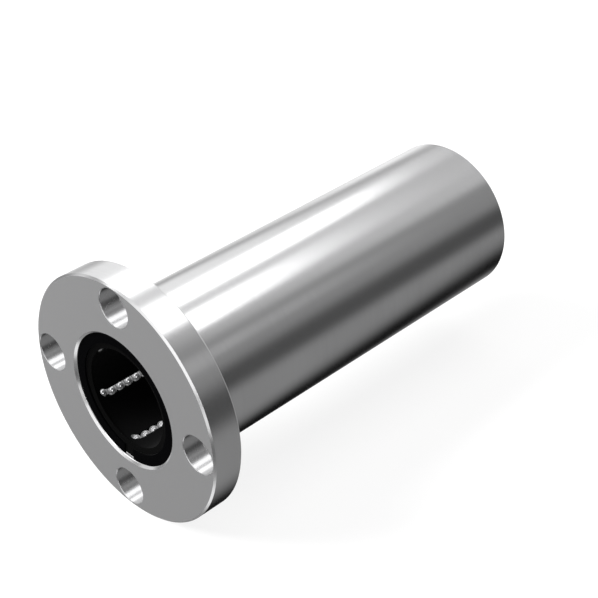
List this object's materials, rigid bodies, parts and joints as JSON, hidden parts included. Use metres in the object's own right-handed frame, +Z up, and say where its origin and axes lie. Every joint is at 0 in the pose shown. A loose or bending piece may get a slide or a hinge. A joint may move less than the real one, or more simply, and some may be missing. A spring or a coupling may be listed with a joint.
{
  "type": "flanged linear ball bushing",
  "caption": "Long round-flange linear ball bushing: a steel sleeve with a counterbored flange that guides a shaft on recirculating balls.",
  "frame": {"origin": "centre of the bore's axis in the plane of the flange's seating face, the face that the sleeve stands on", "axes": "+Y along the bore from the flange towards the far end of the sleeve, +Z up through the top screw hole, +X to the side; the flange's front face looks towards -Y"},
  "size_m": [0.062, 0.112, 0.062],
  "materials": {
    "ground_steel": "ground sleeve, finely blasted flange",
    "blackened_spring_steel": "black oxide, satin",
    "black_rubber": "matt black rubber",
    "black_resin": "moulded black resin, satin",
    "polished_ball_steel": "mirror polished bearing steel"
  },
  "bodies": {
    "bushing": {"flanged_sleeve": "ground_steel", "spacer_ring": "black_resin", "front_retainer": "black_resin", "front_seal": "black_rubber", "front_snap_ring": "blackened_spring_steel", "rear_retainer": "black_resin", "rear_seal": "black_rubber", "rear_snap_ring": "blackened_spring_steel"},
    "front_circuit_1_load_balls": {"front_circuit_1_load_balls": "polished_ball_steel"},
    "front_circuit_1_return_balls": {"front_circuit_1_return_balls": "polished_ball_steel"},
    "front_circuit_1_outer_turn_balls": {"front_circuit_1_outer_turn_balls": "polished_ball_steel"},
    "front_circuit_1_inner_turn_balls": {"front_circuit_1_inner_turn_balls": "polished_ball_steel"},
    "front_circuit_2_load_balls": {"front_circuit_2_load_balls": "polished_ball_steel"},
    "front_circuit_2_return_balls": {"front_circuit_2_return_balls": "polished_ball_steel"},
    "front_circuit_2_outer_turn_balls": {"front_circuit_2_outer_turn_balls": "polished_ball_steel"},
    "front_circuit_2_inner_turn_balls": {"front_circuit_2_inner_turn_balls": "polished_ball_steel"},
    "front_circuit_3_load_balls": {"front_circuit_3_load_balls": "polished_ball_steel"},
    "front_circuit_3_return_balls": {"front_circuit_3_return_balls": "polished_ball_steel"},
    "front_circuit_3_outer_turn_balls": {"front_circuit_3_outer_turn_balls": "polished_ball_steel"},
    "front_circuit_3_inner_turn_balls": {"front_circuit_3_inner_turn_balls": "polished_ball_steel"},
    "front_circuit_4_load_balls": {"front_circuit_4_load_balls": "polished_ball_steel"},
    "front_circuit_4_return_balls": {"front_circuit_4_return_balls": "polished_ball_steel"},
    "front_circuit_4_outer_turn_balls": {"front_circuit_4_outer_turn_balls": "polished_ball_steel"},
    "front_circuit_4_inner_turn_balls": {"front_circuit_4_inner_turn_balls": "polished_ball_steel"},
    "front_circuit_5_load_balls": {"front_circuit_5_load_balls": "polished_ball_steel"},
    "front_circuit_5_return_balls": {"front_circuit_5_return_balls": "polished_ball_steel"},
    "front_circuit_5_outer_turn_balls": {"front_circuit_5_outer_turn_balls": "polished_ball_steel"},
    "front_circuit_5_inner_turn_balls": {"front_circuit_5_inner_turn_balls": "polished_ball_steel"},
    "front_circuit_6_load_balls": {"front_circuit_6_load_balls": "polished_ball_steel"},
    "front_circuit_6_return_balls": {"front_circuit_6_return_balls": "polished_ball_steel"},
    "front_circuit_6_outer_turn_balls": {"front_circuit_6_outer_turn_balls": "polished_ball_steel"},
    "front_circuit_6_inner_turn_balls": {"front_circuit_6_inner_turn_balls": "polished_ball_steel"},
    "rear_circuit_1_load_balls": {"rear_circuit_1_load_balls": "polished_ball_steel"},
    "rear_circuit_1_return_balls": {"rear_circuit_1_return_balls": "polished_ball_steel"},
    "rear_circuit_1_outer_turn_balls": {"rear_circuit_1_outer_turn_balls": "polished_ball_steel"},
    "rear_circuit_1_inner_turn_balls": {"rear_circuit_1_inner_turn_balls": "polished_ball_steel"},
    "rear_circuit_2_load_balls": {"rear_circuit_2_load_balls": "polished_ball_steel"},
    "rear_circuit_2_return_balls": {"rear_circuit_2_return_balls": "polished_ball_steel"},
    "rear_circuit_2_outer_turn_balls": {"rear_circuit_2_outer_turn_balls": "polished_ball_steel"},
    "rear_circuit_2_inner_turn_balls": {"rear_circuit_2_inner_turn_balls": "polished_ball_steel"},
    "rear_circuit_3_load_balls": {"rear_circuit_3_load_balls": "polished_ball_steel"},
    "rear_circuit_3_return_balls": {"rear_circuit_3_return_balls": "polished_ball_steel"},
    "rear_circuit_3_outer_turn_balls": {"rear_circuit_3_outer_turn_balls": "polished_ball_steel"},
    "rear_circuit_3_inner_turn_balls": {"rear_circuit_3_inner_turn_balls": "polished_ball_steel"},
    "rear_circuit_4_load_balls": {"rear_circuit_4_load_balls": "polished_ball_steel"},
    "rear_circuit_4_return_balls": {"rear_circuit_4_return_balls": "polished_ball_steel"},
    "rear_circuit_4_outer_turn_balls": {"rear_circuit_4_outer_turn_balls": "polished_ball_steel"},
    "rear_circuit_4_inner_turn_balls": {"rear_circuit_4_inner_turn_balls": "polished_ball_steel"},
    "rear_circuit_5_load_balls": {"rear_circuit_5_load_balls": "polished_ball_steel"},
    "rear_circuit_5_return_balls": {"rear_circuit_5_return_balls": "polished_ball_steel"},
    "rear_circuit_5_outer_turn_balls": {"rear_circuit_5_outer_turn_balls": "polished_ball_steel"},
    "rear_circuit_5_inner_turn_balls": {"rear_circuit_5_inner_turn_balls": "polished_ball_steel"},
    "rear_circuit_6_load_balls": {"rear_circuit_6_load_balls": "polished_ball_steel"},
    "rear_circuit_6_return_balls": {"rear_circuit_6_return_balls": "polished_ball_steel"},
    "rear_circuit_6_outer_turn_balls": {"rear_circuit_6_outer_turn_balls": "polished_ball_steel"},
    "rear_circuit_6_inner_turn_balls": {"rear_circuit_6_inner_turn_balls": "polished_ball_steel"}
  },
  "joints": [
    {"name": "front_circuit_1_load_row_slide", "type": "slide", "parent": "bushing", "child": "front_circuit_1_load_balls", "axis": [0, 1, 0], "range_m": [-0.0012, 0.0012]},
    {"name": "front_circuit_1_return_row_slide", "type": "slide", "parent": "bushing", "child": "front_circuit_1_return_balls", "axis": [0, 1, 0], "range_m": [-0.00121, 0.00121]},
    {"name": "front_circuit_1_outer_turn", "type": "hinge", "parent": "bushing", "child": "front_circuit_1_outer_turn_balls", "pos_m": [0.00172, -0.00324, 0.01402], "axis": [0.1874, 0, -0.9823], "range_deg": [-45, 45]},
    {"name": "front_circuit_1_inner_turn", "type": "hinge", "parent": "bushing", "child": "front_circuit_1_inner_turn_balls", "pos_m": [0.00172, 0.04016, 0.01402], "axis": [0.1874, 0, -0.9823], "range_deg": [-45, 45]},
    {"name": "front_circuit_2_load_row_slide", "type": "slide", "parent": "bushing", "child": "front_circuit_2_load_balls", "axis": [0, 1, 0], "range_m": [-0.0012, 0.0012]},
    {"name": "front_circuit_2_return_row_slide", "type": "slide", "parent": "bushing", "child": "front_circuit_2_return_balls", "axis": [0, 1, 0], "range_m": [-0.00121, 0.00121]},
    {"name": "front_circuit_2_outer_turn", "type": "hinge", "parent": "bushing", "child": "front_circuit_2_outer_turn_balls", "pos_m": [-0.01128, -0.00324, 0.0085], "axis": [0.9444, 0, -0.3288], "range_deg": [-45, 45]},
    {"name": "front_circuit_2_inner_turn", "type": "hinge", "parent": "bushing", "child": "front_circuit_2_inner_turn_balls", "pos_m": [-0.01128, 0.04016, 0.0085], "axis": [0.9444, 0, -0.3288], "range_deg": [-45, 45]},
    {"name": "front_circuit_3_load_row_slide", "type": "slide", "parent": "bushing", "child": "front_circuit_3_load_balls", "axis": [0, 1, 0], "range_m": [-0.0012, 0.0012]},
    {"name": "front_circuit_3_return_row_slide", "type": "slide", "parent": "bushing", "child": "front_circuit_3_return_balls", "axis": [0, 1, 0], "range_m": [-0.00121, 0.00121]},
    {"name": "front_circuit_3_outer_turn", "type": "hinge", "parent": "bushing", "child": "front_circuit_3_outer_turn_balls", "pos_m": [-0.013, -0.00324, -0.00552], "axis": [0.757, 0, 0.6535], "range_deg": [-45, 45]},
    {"name": "front_circuit_3_inner_turn", "type": "hinge", "parent": "bushing", "child": "front_circuit_3_inner_turn_balls", "pos_m": [-0.013, 0.04016, -0.00552], "axis": [0.757, 0, 0.6535], "range_deg": [-45, 45]},
    {"name": "front_circuit_4_load_row_slide", "type": "slide", "parent": "bushing", "child": "front_circuit_4_load_balls", "axis": [0, 1, 0], "range_m": [-0.0012, 0.0012]},
    {"name": "front_circuit_4_return_row_slide", "type": "slide", "parent": "bushing", "child": "front_circuit_4_return_balls", "axis": [0, 1, 0], "range_m": [-0.00121, 0.00121]},
    {"name": "front_circuit_4_outer_turn", "type": "hinge", "parent": "bushing", "child": "front_circuit_4_outer_turn_balls", "pos_m": [-0.00172, -0.00324, -0.01402], "axis": [-0.1874, 0, 0.9823], "range_deg": [-45, 45]},
    {"name": "front_circuit_4_inner_turn", "type": "hinge", "parent": "bushing", "child": "front_circuit_4_inner_turn_balls", "pos_m": [-0.00172, 0.04016, -0.01402], "axis": [-0.1874, 0, 0.9823], "range_deg": [-45, 45]},
    {"name": "front_circuit_5_load_row_slide", "type": "slide", "parent": "bushing", "child": "front_circuit_5_load_balls", "axis": [0, 1, 0], "range_m": [-0.0012, 0.0012]},
    {"name": "front_circuit_5_return_row_slide", "type": "slide", "parent": "bushing", "child": "front_circuit_5_return_balls", "axis": [0, 1, 0], "range_m": [-0.00121, 0.00121]},
    {"name": "front_circuit_5_outer_turn", "type": "hinge", "parent": "bushing", "child": "front_circuit_5_outer_turn_balls", "pos_m": [0.01128, -0.00324, -0.0085], "axis": [-0.9444, 0, 0.3288], "range_deg": [-45, 45]},
    {"name": "front_circuit_5_inner_turn", "type": "hinge", "parent": "bushing", "child": "front_circuit_5_inner_turn_balls", "pos_m": [0.01128, 0.04016, -0.0085], "axis": [-0.9444, 0, 0.3288], "range_deg": [-45, 45]},
    {"name": "front_circuit_6_load_row_slide", "type": "slide", "parent": "bushing", "child": "front_circuit_6_load_balls", "axis": [0, 1, 0], "range_m": [-0.0012, 0.0012]},
    {"name": "front_circuit_6_return_row_slide", "type": "slide", "parent": "bushing", "child": "front_circuit_6_return_balls", "axis": [0, 1, 0], "range_m": [-0.00121, 0.00121]},
    {"name": "front_circuit_6_outer_turn", "type": "hinge", "parent": "bushing", "child": "front_circuit_6_outer_turn_balls", "pos_m": [0.013, -0.00324, 0.00552], "axis": [-0.757, 0, -0.6535], "range_deg": [-45, 45]},
    {"name": "front_circuit_6_inner_turn", "type": "hinge", "parent": "bushing", "child": "front_circuit_6_inner_turn_balls", "pos_m": [0.013, 0.04016, 0.00552], "axis": [-0.757, 0, -0.6535], "range_deg": [-45, 45]},
    {"name": "rear_circuit_1_load_row_slide", "type": "slide", "parent": "bushing", "child": "rear_circuit_1_load_balls", "axis": [0, -1, 0], "range_m": [-0.0012, 0.0012]},
    {"name": "rear_circuit_1_return_row_slide", "type": "slide", "parent": "bushing", "child": "rear_circuit_1_return_balls", "axis": [0, -1, 0], "range_m": [-0.00121, 0.00121]},
    {"name": "rear_circuit_1_outer_turn", "type": "hinge", "parent": "bushing", "child": "rear_circuit_1_outer_turn_balls", "pos_m": [-0.00172, 0.09924, 0.01402], "axis": [-0.1874, 0, -0.9823], "range_deg": [-45, 45]},
    {"name": "rear_circuit_1_inner_turn", "type": "hinge", "parent": "bushing", "child": "rear_circuit_1_inner_turn_balls", "pos_m": [-0.00172, 0.05584, 0.01402], "axis": [-0.1874, 0, -0.9823], "range_deg": [-45, 45]},
    {"name": "rear_circuit_2_load_row_slide", "type": "slide", "parent": "bushing", "child": "rear_circuit_2_load_balls", "axis": [0, -1, 0], "range_m": [-0.0012, 0.0012]},
    {"name": "rear_circuit_2_return_row_slide", "type": "slide", "parent": "bushing", "child": "rear_circuit_2_return_balls", "axis": [0, -1, 0], "range_m": [-0.00121, 0.00121]},
    {"name": "rear_circuit_2_outer_turn", "type": "hinge", "parent": "bushing", "child": "rear_circuit_2_outer_turn_balls", "pos_m": [0.01128, 0.09924, 0.0085], "axis": [-0.9444, 0, -0.3288], "range_deg": [-45, 45]},
    {"name": "rear_circuit_2_inner_turn", "type": "hinge", "parent": "bushing", "child": "rear_circuit_2_inner_turn_balls", "pos_m": [0.01128, 0.05584, 0.0085], "axis": [-0.9444, 0, -0.3288], "range_deg": [-45, 45]},
    {"name": "rear_circuit_3_load_row_slide", "type": "slide", "parent": "bushing", "child": "rear_circuit_3_load_balls", "axis": [0, -1, 0], "range_m": [-0.0012, 0.0012]},
    {"name": "rear_circuit_3_return_row_slide", "type": "slide", "parent": "bushing", "child": "rear_circuit_3_return_balls", "axis": [0, -1, 0], "range_m": [-0.00121, 0.00121]},
    {"name": "rear_circuit_3_outer_turn", "type": "hinge", "parent": "bushing", "child": "rear_circuit_3_outer_turn_balls", "pos_m": [0.013, 0.09924, -0.00552], "axis": [-0.757, 0, 0.6535], "range_deg": [-45, 45]},
    {"name": "rear_circuit_3_inner_turn", "type": "hinge", "parent": "bushing", "child": "rear_circuit_3_inner_turn_balls", "pos_m": [0.013, 0.05584, -0.00552], "axis": [-0.757, 0, 0.6535], "range_deg": [-45, 45]},
    {"name": "rear_circuit_4_load_row_slide", "type": "slide", "parent": "bushing", "child": "rear_circuit_4_load_balls", "axis": [0, -1, 0], "range_m": [-0.0012, 0.0012]},
    {"name": "rear_circuit_4_return_row_slide", "type": "slide", "parent": "bushing", "child": "rear_circuit_4_return_balls", "axis": [0, -1, 0], "range_m": [-0.00121, 0.00121]},
    {"name": "rear_circuit_4_outer_turn", "type": "hinge", "parent": "bushing", "child": "rear_circuit_4_outer_turn_balls", "pos_m": [0.00172, 0.09924, -0.01402], "axis": [0.1874, 0, 0.9823], "range_deg": [-45, 45]},
    {"name": "rear_circuit_4_inner_turn", "type": "hinge", "parent": "bushing", "child": "rear_circuit_4_inner_turn_balls", "pos_m": [0.00172, 0.05584, -0.01402], "axis": [0.1874, 0, 0.9823], "range_deg": [-45, 45]},
    {"name": "rear_circuit_5_load_row_slide", "type": "slide", "parent": "bushing", "child": "rear_circuit_5_load_balls", "axis": [0, -1, 0], "range_m": [-0.0012, 0.0012]},
    {"name": "rear_circuit_5_return_row_slide", "type": "slide", "parent": "bushing", "child": "rear_circuit_5_return_balls", "axis": [0, -1, 0], "range_m": [-0.00121, 0.00121]},
    {"name": "rear_circuit_5_outer_turn", "type": "hinge", "parent": "bushing", "child": "rear_circuit_5_outer_turn_balls", "pos_m": [-0.01128, 0.09924, -0.0085], "axis": [0.9444, 0, 0.3288], "range_deg": [-45, 45]},
    {"name": "rear_circuit_5_inner_turn", "type": "hinge", "parent": "bushing", "child": "rear_circuit_5_inner_turn_balls", "pos_m": [-0.01128, 0.05584, -0.0085], "axis": [0.9444, 0, 0.3288], "range_deg": [-45, 45]},
    {"name": "rear_circuit_6_load_row_slide", "type": "slide", "parent": "bushing", "child": "rear_circuit_6_load_balls", "axis": [0, -1, 0], "range_m": [-0.0012, 0.0012]},
    {"name": "rear_circuit_6_return_row_slide", "type": "slide", "parent": "bushing", "child": "rear_circuit_6_return_balls", "axis": [0, -1, 0], "range_m": [-0.00121, 0.00121]},
    {"name": "rear_circuit_6_outer_turn", "type": "hinge", "parent": "bushing", "child": "rear_circuit_6_outer_turn_balls", "pos_m": [-0.013, 0.09924, 0.00552], "axis": [0.757, 0, -0.6535], "range_deg": [-45, 45]},
    {"name": "rear_circuit_6_inner_turn", "type": "hinge", "parent": "bushing", "child": "rear_circuit_6_inner_turn_balls", "pos_m": [-0.013, 0.05584, 0.00552], "axis": [0.757, 0, -0.6535], "range_deg": [-45, 45]}
  ],
  "couplings": [
    {"joint": "front_circuit_1_return_row_slide", "follows": "front_circuit_1_load_row_slide", "ratio": -1},
    {"joint": "front_circuit_1_outer_turn", "follows": "front_circuit_1_load_row_slide", "rad_per_m": 651.51},
    {"joint": "front_circuit_1_inner_turn", "follows": "front_circuit_1_load_row_slide", "rad_per_m": 651.51},
    {"joint": "front_circuit_2_return_row_slide", "follows": "front_circuit_2_load_row_slide", "ratio": -1},
    {"joint": "front_circuit_2_outer_turn", "follows": "front_circuit_2_load_row_slide", "rad_per_m": 651.51},
    {"joint": "front_circuit_2_inner_turn", "follows": "front_circuit_2_load_row_slide", "rad_per_m": 651.51},
    {"joint": "front_circuit_3_return_row_slide", "follows": "front_circuit_3_load_row_slide", "ratio": -1},
    {"joint": "front_circuit_3_outer_turn", "follows": "front_circuit_3_load_row_slide", "rad_per_m": 651.51},
    {"joint": "front_circuit_3_inner_turn", "follows": "front_circuit_3_load_row_slide", "rad_per_m": 651.51},
    {"joint": "front_circuit_4_return_row_slide", "follows": "front_circuit_4_load_row_slide", "ratio": -1},
    {"joint": "front_circuit_4_outer_turn", "follows": "front_circuit_4_load_row_slide", "rad_per_m": 651.51},
    {"joint": "front_circuit_4_inner_turn", "follows": "front_circuit_4_load_row_slide", "rad_per_m": 651.51},
    {"joint": "front_circuit_5_return_row_slide", "follows": "front_circuit_5_load_row_slide", "ratio": -1},
    {"joint": "front_circuit_5_outer_turn", "follows": "front_circuit_5_load_row_slide", "rad_per_m": 651.51},
    {"joint": "front_circuit_5_inner_turn", "follows": "front_circuit_5_load_row_slide", "rad_per_m": 651.51},
    {"joint": "front_circuit_6_return_row_slide", "follows": "front_circuit_6_load_row_slide", "ratio": -1},
    {"joint": "front_circuit_6_outer_turn", "follows": "front_circuit_6_load_row_slide", "rad_per_m": 651.51},
    {"joint": "front_circuit_6_inner_turn", "follows": "front_circuit_6_load_row_slide", "rad_per_m": 651.51},
    {"joint": "rear_circuit_1_return_row_slide", "follows": "rear_circuit_1_load_row_slide", "ratio": -1},
    {"joint": "rear_circuit_1_outer_turn", "follows": "rear_circuit_1_load_row_slide", "rad_per_m": 651.51},
    {"joint": "rear_circuit_1_inner_turn", "follows": "rear_circuit_1_load_row_slide", "rad_per_m": 651.51},
    {"joint": "rear_circuit_2_return_row_slide", "follows": "rear_circuit_2_load_row_slide", "ratio": -1},
    {"joint": "rear_circuit_2_outer_turn", "follows": "rear_circuit_2_load_row_slide", "rad_per_m": 651.51},
    {"joint": "rear_circuit_2_inner_turn", "follows": "rear_circuit_2_load_row_slide", "rad_per_m": 651.51},
    {"joint": "rear_circuit_3_return_row_slide", "follows": "rear_circuit_3_load_row_slide", "ratio": -1},
    {"joint": "rear_circuit_3_outer_turn", "follows": "rear_circuit_3_load_row_slide", "rad_per_m": 651.51},
    {"joint": "rear_circuit_3_inner_turn", "follows": "rear_circuit_3_load_row_slide", "rad_per_m": 651.51},
    {"joint": "rear_circuit_4_return_row_slide", "follows": "rear_circuit_4_load_row_slide", "ratio": -1},
    {"joint": "rear_circuit_4_outer_turn", "follows": "rear_circuit_4_load_row_slide", "rad_per_m": 651.51},
    {"joint": "rear_circuit_4_inner_turn", "follows": "rear_circuit_4_load_row_slide", "rad_per_m": 651.51},
    {"joint": "rear_circuit_5_return_row_slide", "follows": "rear_circuit_5_load_row_slide", "ratio": -1},
    {"joint": "rear_circuit_5_outer_turn", "follows": "rear_circuit_5_load_row_slide", "rad_per_m": 651.51},
    {"joint": "rear_circuit_5_inner_turn", "follows": "rear_circuit_5_load_row_slide", "rad_per_m": 651.51},
    {"joint": "rear_circuit_6_return_row_slide", "follows": "rear_circuit_6_load_row_slide", "ratio": -1},
    {"joint": "rear_circuit_6_outer_turn", "follows": "rear_circuit_6_load_row_slide", "rad_per_m": 651.51},
    {"joint": "rear_circuit_6_inner_turn", "follows": "rear_circuit_6_load_row_slide", "rad_per_m": 651.51}
  ]
}
